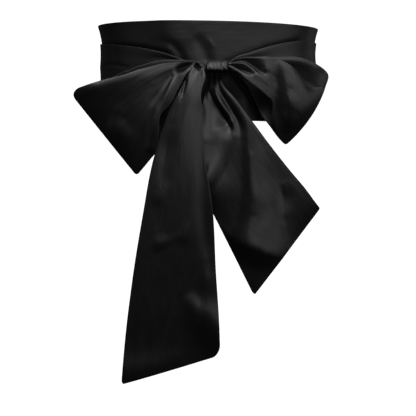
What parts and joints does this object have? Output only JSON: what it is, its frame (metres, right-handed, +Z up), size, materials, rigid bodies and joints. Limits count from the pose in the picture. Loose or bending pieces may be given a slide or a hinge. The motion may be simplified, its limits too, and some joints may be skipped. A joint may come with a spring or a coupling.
{
  "type": "satin waist sash tied in a bow",
  "caption": "Long satin sash wound round a waist and tied in front in a soft bow with two slanted hanging tails.",
  "frame": {"origin": "centre of the waist hollow, at half the height of the band in front", "axes": "+Z up, -Y towards the front, where the bow is tied, +X to the right as the front is seen"},
  "size_m": [0.3223, 0.2565, 0.4604],
  "materials": {
    "satin": "black duchess satin, smooth and soft, with a broad sheen"
  },
  "bodies": {
    "root": {"turn_inner": "satin", "turn_outer": "satin", "knot": "satin", "loop_left": "satin", "loop_right": "satin", "tail_left": "satin", "tail_right": "satin"}
  },
  "joints": []
}
